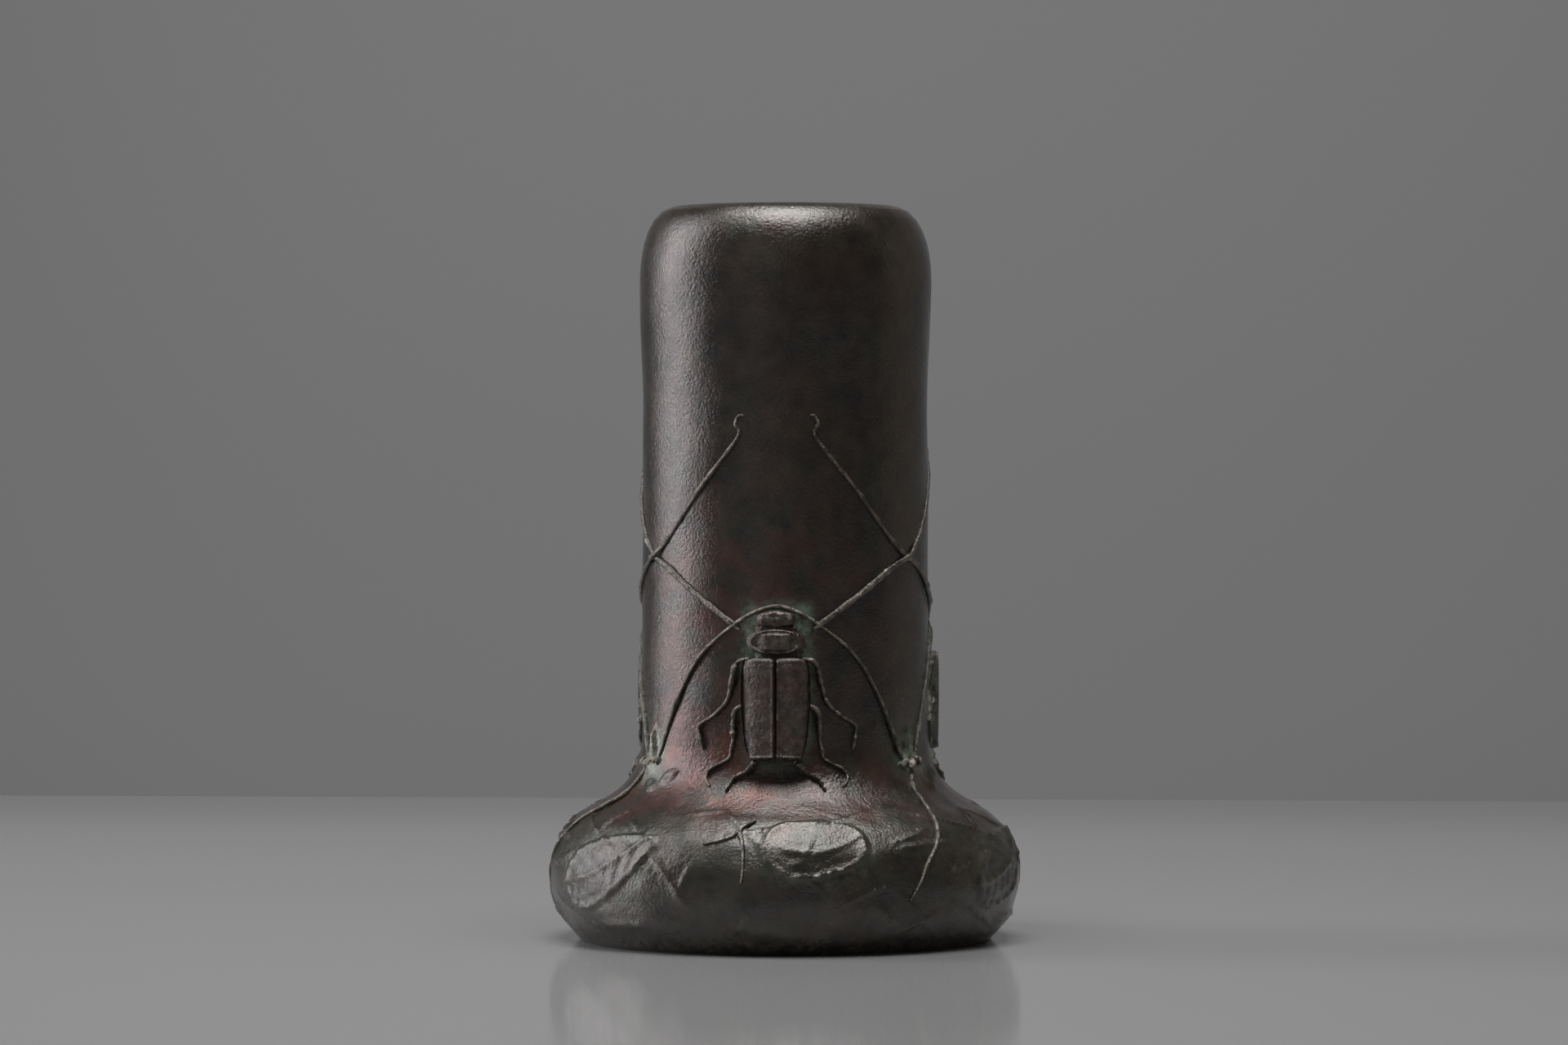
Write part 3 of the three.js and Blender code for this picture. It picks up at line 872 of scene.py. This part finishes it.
@dataclass(frozen=True)
class Pillow:
    """A rounded pad of a beetle, lofted up the wall from ring to ring."""

    low: float
    high: float
    middle: float
    thick: float
    square: float = 0.6
    rings: int = 64
    sides: int = 56
    end_radius: float = 0.9
    end_width: float = 0.18
    green: float = 0.55
    warm: float = 0.25

    def squared(self, value: Array) -> Array:
        """Squares a circle off towards a box.

        Args:
            value: Sine or cosine.

        Returns:
            The squared value.
        """
        return np.sign(value) * np.abs(value) ** self.square

    def build(self, name: str, azimuth: float, edges: Edges, rise: Surface,
              wear: float = 0.28) -> Piece:
        """Makes the pad.

        Args:
            name: Name of the object.
            azimuth: Degrees of the beetle's middle line.
            edges: Gives the two side edges at a share of the length.
            rise: Adds to the top's height at x and a share of the length.
            wear: Bare metal on top.

        Returns:
            The pad.
        """
        share = 0.5 - 0.5 * np.cos(np.linspace(0, np.pi, self.rings))
        left, right = (side[:, None] for side in edges(share))
        end = np.minimum(share, 1 - share)[:, None] * (self.high - self.low)
        close = np.sqrt(np.clip(1 - (1 - np.clip(end / self.end_radius, 0, 1)) ** 2, 0, 1))
        angle = np.linspace(0, 2 * np.pi, self.sides + 1)[None, :]
        reach = (1 - self.end_width) * close + self.end_width * (close > 0)
        x = (left + right) / 2 + (right - left) / 2 * self.squared(np.cos(angle)) * reach
        top = np.clip(np.sin(angle), 0, 1)
        off = self.middle + self.thick * self.squared(np.sin(angle)) * close
        off = off + rise(x, share[:, None]) * smoothstep(0.0, 0.5, top) * close
        girth = self.low + (self.high - self.low) * share[:, None] + 0 * angle
        marks = {
            "wear": wear * smoothstep(0.6, 1.0, top + 0 * x),
            "green": self.green * smoothstep(0.35, -0.1, np.sin(angle) + 0 * x),
            "warm": self.warm,
        }
        return Piece(name, WALL.beside(azimuth, x, girth, off), Slot.BEETLE, marks)


@dataclass(frozen=True)
class Beetle:
    """A longhorn beetle. Legs are in millimetres from the wing cases' middle, for the right side."""

    name: str
    azimuth: float
    centre: float = 65.0
    trunk_half: float = 4.6
    wing_half: float = 7.2
    wing_shares: tuple = (0, 0.03, 0.1, 0.3, 0.6, 0.84, 0.95, 1)
    wing_edges: tuple = (4.9, 5.5, 6.0, 6.7, 7.2, 7.1, 6.7, 5.6)
    seam: float = 0.01
    shield_half: float = 6.3
    joint_shares: tuple = (0, 0.12, 0.3, 0.42, 0.47, 0.7, 0.78, 0.84, 0.9, 1)
    joint_sizes: tuple = (0.8, 1.3, 1.35, 0.9, 1.1, 0.75, 0.95, 0.6, 0.8, 0.5)
    thigh_lift: float = 1.5
    feeler_joints: int = 11
    crossing_lift: float = 0.85
    legs: tuple = (
        ("fore", ((5.4, 11.9), (8.5, 10.7), (10.2, 5.6), (11.5, 1.8), (14.6, -1.2), (18, -3.2), (18.6, -4.5),
                  (18.2, -7), (17.8, -9.3))),
        ("middle", ((5.4, 1.6), (8.6, 0.3), (9.5, -2.5), (9.8, -6.5), (10.3, -9.1), (11, -11.2),
                    (15.3, -13.7), (16.5, -16), (15.5, -18.2))),
        ("hind", ((3.8, -12.0), (5, -12.8), (6.2, -14.1), (9.4, -15.8), (10.6, -17.6), (11.6, -19.4))),
    )
    feeler: tuple = (
        (13.5, 83.2), (17, 84.4), (27, 88.5), (37.5, 92.5), (48, 96.5), (58, 99.3), (61, 99.9), (70, 103.8),
        (79, 109.2), (88, 115.5), (99, 122.8), (105, 127.6), (103.6, 130), (105, 131.8), (107.2, 131.9),
    )

    @property
    def seed(self) -> int:
        """The first seed of this beetle's ridges."""
        return int(self.azimuth) % 360

    def add(self, node: str, maker: Union[Pillow, Rod], *shape: object) -> Piece:
        """Makes one piece, which stands for its solid.

        Args:
            node: Part of the beetle.
            maker: Pad or ridge that makes it.
            shape: What the maker needs besides the name.

        Returns:
            The piece.
        """
        piece = maker.build(f"beetle_{self.name}_{node}_cast", *shape)
        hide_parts(f"beetle_{self.name}_{node}")
        return piece

    def trunk(self) -> Piece:
        """Makes the trunk that carries the wing cases.

        Returns:
            The trunk.
        """
        pillow = Pillow(low=WING_FOOT + 0.7, high=WING_TOP + 7.5, middle=0.7, thick=1.5)

        def edges(share: Array) -> tuple:
            return -self.trunk_half + 0 * share, self.trunk_half + 0 * share

        return self.add("trunk", pillow, self.azimuth, edges, lambda x, share: 0 * x, 0.0)

    def crown(self, x: Array, share: Array) -> Array:
        """Shapes a wing case's top: it falls to the side, with two ribs, a seam edge and a raised tip.

        Args:
            x: Millimetres from the seam.
            share: Share of the length from the tip.

        Returns:
            Millimetres added to the top.
        """
        out = np.abs(x)
        fall = -1.35 * (out / self.wing_half) ** 2.4
        ribs = 0.28 * bell(out - 2.6, 0.35) + 0.24 * bell(out - 4.6, 0.35)
        lip = 0.3 * bell(out - 0.55, 0.3) + 0.35 * bell(share, 0.035)
        shoulder = 0.3 * bell(share - 0.9, 0.09) - 0.25 * smoothstep(0.2, 0.0, share)
        return fall + ribs * smoothstep(0.03, 0.15, share) + lip + shoulder

    def wing_case(self, side: int, hand: str) -> Piece:
        """Makes one wing case.

        Args:
            side: 1 for the right and -1 for the left.
            hand: Name of the side.

        Returns:
            The wing case.
        """
        def edges(share: Array) -> tuple:
            reach = np.interp(share, self.wing_shares, self.wing_edges)
            inner = self.seam + 0 * share
            return (inner, reach) if side > 0 else (-reach, -inner)

        pillow = Pillow(WING_FOOT, WING_TOP, middle=3.2, thick=1.55, square=0.28, rings=84, sides=64)
        return self.add(f"wing_case_{hand}", pillow, self.azimuth, edges, self.crown, 0.2)

    @staticmethod
    def lens(half: float, power: float) -> Edges:
        """Gives the side edges of a lens shape.

        Args:
            half: Half width.
            power: How square its ends are.

        Returns:
            A function from the share of the length to the two edges.
        """
        def edges(share: Array) -> tuple:
            reach = half * np.clip(1 - np.abs(2 * share - 1) ** power, 0.05, 1) ** 0.5
            return -reach, reach

        return edges

    def shield(self, x: Array, share: Array) -> Array:
        """Shapes the pronotum's top: a raised rim and a raised block.

        Args:
            x: Millimetres from the middle line.
            share: Share of the length.

        Returns:
            Millimetres added to the top.
        """
        rim = 0.5 * bell(np.hypot(x / self.shield_half, (share - 0.5) * 1.9) - 0.84, 0.08)
        ends = smoothstep(0.14, 0.26, share) * smoothstep(0.86, 0.74, share)
        boss = 0.65 * smoothstep(3.3, 2.6, np.abs(x)) * ends
        return rim + boss - 0.5 * (x / self.shield_half) ** 2

    @staticmethod
    def brow(x: Array, share: Array) -> Array:
        """Shapes the head's top: eyes, and a notched block in front.

        Args:
            x: Millimetres from the middle line.
            share: Share of the length.

        Returns:
            Millimetres added to the top.
        """
        eyes = 0.55 * bell(np.abs(x) - 3.0, 0.8) * bell(share - 0.45, 0.3)
        notch = -0.7 * bell(x, 0.45) * smoothstep(0.35, 0.7, share)
        block = 0.4 * smoothstep(2.2, 1.7, np.abs(x)) * smoothstep(0.3, 0.5, share)
        return eyes + notch + block

    def leg(self, order: int, part: str, points: tuple, side: int) -> Piece:
        """Makes one leg.

        Args:
            order: Place in the list of legs, for the seed.
            part: Part of the beetle.
            points: Route on the right side.
            side: 1 for the right and -1 for the left.

        Returns:
            The leg.
        """
        route = []
        for x, y in points:
            girth = self.centre + y
            route.append((self.azimuth + math.degrees(side * x / float(WALL.read(girth, "r"))), girth))

        def joints(share: Array) -> Array:
            return np.interp(share, self.joint_shares, self.joint_sizes)

        def raised(share: Array, azimuth: Array) -> Array:
            return self.thigh_lift * smoothstep(0.42, 0.05, share)

        rod = Rod(width=1.1, height=1.2, swell=joints, lift=raised, steps=90)
        seed = self.seed + order + side + 3
        return self.add(part, rod, route, Slot.BEETLE, seed, 0.5, 0.55)

    def make_feeler(self, side: int, hand: str) -> Piece:
        """Makes one feeler, jointed; the right one rises over its neighbour where they cross.

        Args:
            side: 1 for the right and -1 for the left.
            hand: Name of the side.

        Returns:
            The feeler.
        """
        crossing = self.azimuth + side * PITCH / 2
        lift = self.crossing_lift if side > 0 else 0.0

        def segments(share: Array) -> Array:
            knobs = 1 + 0.24 * bell(np.mod(share * self.feeler_joints, 1.0) - 0.5, 0.14)
            return (1 - 0.5 * share) * knobs

        def over(share: Array, azimuth: Array) -> Array:
            return lift * bell(azimuth - crossing, 5.0)

        route = [(self.azimuth + side * turn, girth) for turn, girth in self.feeler]
        rod = Rod(width=1.5, height=0.85, swell=segments, lift=over, steps=220)
        seed = self.seed + 9 + side
        return self.add(f"feeler_{hand}", rod, route, Slot.BEETLE, seed, 0.35, 0.6)

    def build(self) -> list:
        """Makes the beetle's pieces.

        Returns:
            The pieces.
        """
        made = [self.trunk()]
        made += [self.wing_case(side, hand) for side, hand in HANDS]
        shield = Pillow(low=77.5, high=83.7, middle=1.4, thick=1.9, square=0.62)
        made.append(self.add("pronotum", shield, self.azimuth, self.lens(6.4, 2.6), self.shield))
        head = Pillow(low=83.7, high=87.7, middle=1.1, thick=1.5, square=0.62)
        made.append(self.add("head", head, self.azimuth, self.lens(4.2, 3.2), self.brow))
        for side, hand in HANDS:
            for order, (leg, points) in enumerate(self.legs):
                made.append(self.leg(order, f"{leg}_leg_{hand}", points, side))
            made.append(self.make_feeler(side, hand))
        return made


@dataclass(frozen=True)
class Stems:
    """A beetle's stems: its arch, the knot to its right with a trailing stem, and a forked twig."""

    name: str
    azimuth: float
    first_seed: int = 500
    arch: tuple = (
        (0, 88.6), (8, 87.4), (17, 84.3), (28, 79.4), (35, 75), (41.5, 69.3), (46.5, 64), (52, 57.5),
        (55.5, 52.3),
    )
    trail: tuple = (
        (0, 52), (-5, 46), (-6, 42), (-9, 37), (-12.5, 31), (-16, 26.5), (-20, 22.5), (-23, 17.8),
        (-25.5, 14.1),
    )
    twig: tuple = ((-4.7, 35.2), (-8.3, 31.7), (-7.2, 27.8), (-6.6, 22.2), (-7, 18.4))
    fork: tuple = ((-8.0, 31.4), (-11.7, 29), (-17.6, 27.5))
    knot: tuple = ((-7.5, 51.2), (-4, 52.2), (-1, 51.6), (2.5, 52.6), (7, 52.4))

    @staticmethod
    def ragged(share: Array) -> Array:
        """The knot's size along its length.

        Args:
            share: Share of the length.

        Returns:
            Factor on width and height.
        """
        return 0.55 + 0.45 * np.sin(np.pi * share) ** 2 + 0.16 * np.sin(21 * share)

    def build(self) -> list:
        """Makes the stems.

        Returns:
            The pieces.
        """
        seed = self.first_seed + int(self.azimuth) % 360
        knot = self.azimuth + PITCH / 2
        both = [(-turn, girth) for turn, girth in self.arch[:0:-1]] + list(self.arch)
        thin = Rod(width=1.1, height=0.9, swell=lambda share: 1 - 0.2 * np.abs(2 * share - 1), steps=200)
        lump = Rod(width=3.0, height=1.8, swell=self.ragged, steps=64, rough=0.16)
        long = Rod(width=1.5, height=1.05, swell=lambda share: 1 - 0.6 * share, steps=120)
        small = Rod(width=1.15, height=1.0, swell=lambda share: 1 - 0.45 * share, steps=64)
        rows = (
            (thin, "arch_stem", "arch_stem", self.azimuth, both, 0.4),
            (lump, "knot", "knot", knot, self.knot, 0.9),
            (long, "trailing_stem", "trailing_stem", knot, self.trail, 0.4),
            (small, "twig", "twig", self.azimuth, self.twig, 0.4),
            (small, "twig_fork", "twig", self.azimuth, self.fork, 0.4),
        )
        made = []
        for order, (rod, label, node, middle, points, green) in enumerate(rows):
            route = [(middle + turn, girth) for turn, girth in points]
            piece = rod.build(f"{label}_{self.name}_cast", route, Slot.FOLIAGE, seed + order, green)
            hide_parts(f"{node}_{self.name}")
            made.append(piece)
        return made


def paint_plate() -> None:
    """Gives the base plate its finish."""
    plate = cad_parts["base_plate"]
    plate.data.materials.clear()
    plate.data.materials.append(MATERIALS[Slot.PLATE])


@dataclass(frozen=True)
class Lamp:
    """A soft area light aimed at the vase's middle, in metres and watts, with a linear colour."""

    name: str
    place: tuple
    size: tuple
    power: float
    colour: tuple
    target: tuple = (0, 0, 0.08)

    def build(self) -> None:
        """Adds the light."""
        aim = np.array(self.target) - np.array(self.place)
        bpy.ops.object.light_add(type="AREA", location=self.place)
        lamp = bpy.context.object
        lamp.name = self.name
        lamp.data.shape = "RECTANGLE"
        lamp.data.size, lamp.data.size_y = self.size
        lamp.data.energy = self.power
        lamp.data.color = self.colour
        flat = math.hypot(aim[0], aim[1])
        lamp.rotation_euler = (math.atan2(flat, -aim[2]), 0, math.atan2(-aim[0], aim[1]))


@dataclass(frozen=True)
class Studio:
    """Table, backdrop, lights and camera, in metres and degrees."""

    distance: float = 1.280
    height: float = 0.112
    turn: float = 3.5
    pitch: float = 0.685
    aside: float = 0.0003
    lens: float = 126.3
    sensor: float = 36.0
    clip: float = 0.01
    table_half: float = 3.0
    table_end: float = 0.52
    painted_shade_band: float = 0.2
    table_roughness: float = 0.11
    back: float = 1.3
    back_half: float = 4.0
    back_low: float = -2.0
    table: tuple = (0.27, 0.27, 0.27)
    # painted shade: the table's darker colour at its far edge
    table_far_painted_shade: tuple = (0.2, 0.2, 0.2)
    backdrop: tuple = (0.3, 0.3, 0.3)
    ambient: float = 0.1
    lamps: tuple = (
        Lamp("key", (-0.95, 0.1, 0.4), (0.4, 1.0), 9.0, (0.98, 0.96, 1.0)),
        Lamp("top", (0.0, -0.15, 1.15), (0.7, 0.6), 17.5, (1.0, 1.0, 1.0)),
        Lamp("rim", (0.75, 0.3, 0.3), (0.12, 0.5), 0.15, (1.0, 0.8, 0.62)),
        Lamp("front", (-0.5, -1.3, 0.6), (0.5, 0.5), 0.8, (1.0, 0.96, 0.92)),
    )

    @staticmethod
    def sheet(name: str, corners: tuple) -> Graph:
        """Adds a flat sheet that isn't part of the vase.

        Args:
            name: Name of the sheet and its material.
            corners: Its four corners, row by row.

        Returns:
            The material's nodes.
        """
        bpy.ops.mesh.primitive_grid_add(x_subdivisions=1, y_subdivisions=1, size=1)
        sheet = bpy.context.object
        sheet.name = name
        sheet.data.vertices.foreach_set("co", np.array(corners, np.float32).ravel())
        graph = Graph(name)
        sheet.data.materials.append(graph.material)
        return graph

    def ground(self) -> None:
        """Makes the table with painted shade: its colour darkens towards its far edge, where its tone runs
        into the backdrop's.
        """
        half, end = self.table_half, self.table_end
        graph = self.sheet("table", ((-half, -half, 0), (half, -half, 0), (-half, end, 0), (half, end, 0)))
        graph.shader.inputs["Roughness"].default_value = self.table_roughness
        split = graph.node("ShaderNodeSeparateXYZ", {"Vector": graph.place()})
        # painted shade: the table's colour darkens over its last stretch towards the backdrop
        limits = {"Value": split.outputs["Y"], "From Min": end - self.painted_shade_band, "From Max": end}
        painted_shade_mask = graph.node("ShaderNodeMapRange", limits)
        painted_shade_mask.interpolation_type = "SMOOTHSTEP"
        colour = graph.blend(painted_shade_mask.outputs["Result"], self.table, self.table_far_painted_shade)
        graph.put(graph.shader.inputs["Base Color"], colour)

    def back_wall(self) -> None:
        """Makes the matt backdrop."""
        side, y, low = self.back_half, self.back, self.back_low
        graph = self.sheet("backdrop", ((-side, y, low), (side, y, low), (-side, y, side), (side, y, side)))
        graph.shader.inputs["Specular IOR Level"].default_value = 0.0
        graph.shader.inputs["Roughness"].default_value = 1.0
        graph.put(graph.shader.inputs["Base Color"], self.backdrop)

    def surroundings(self) -> None:
        """Sets the even light from all round, and the view."""
        scene = bpy.context.scene
        scene.world = scene.world or bpy.data.worlds.new("world")
        scene.world.use_nodes = True
        background = scene.world.node_tree.nodes["Background"]
        background.inputs["Color"].default_value = (self.ambient,) * 3 + (1,)
        bpy.context.scene.view_settings.view_transform = "Standard"

    def camera(self) -> None:
        """Adds the camera."""
        turn = math.radians(self.turn)
        x = self.distance * math.sin(turn) - self.aside
        y = -self.distance * math.cos(turn)
        bpy.ops.object.camera_add(
            location=(x, y, self.height), rotation=(math.radians(90 - self.pitch), 0, turn)
        )
        camera = bpy.context.object
        camera.name = "camera"
        camera.data.sensor_width = self.sensor
        camera.data.lens = self.lens
        camera.data.clip_start = self.clip
        bpy.context.scene.camera = camera

    def build(self) -> None:
        """Sets up the whole studio."""
        self.ground()
        self.back_wall()
        for lamp in self.lamps:
            lamp.build()
        self.surroundings()
        self.camera()


def main() -> None:
    """Builds and reports every piece, then the studio."""
    logging.basicConfig(level=logging.INFO, format="%(message)s")
    pieces = [Body().build()]
    for name, azimuth in BEETLES.items():
        pieces += Beetle(name, azimuth).build()
        pieces += Stems(name, azimuth).build()
    for piece in pieces:
        LOG.info("%s: %d faces", piece.object.name, len(piece.object.data.polygons))
    paint_plate()
    Studio().build()


if __name__ == "__main__":
    main()
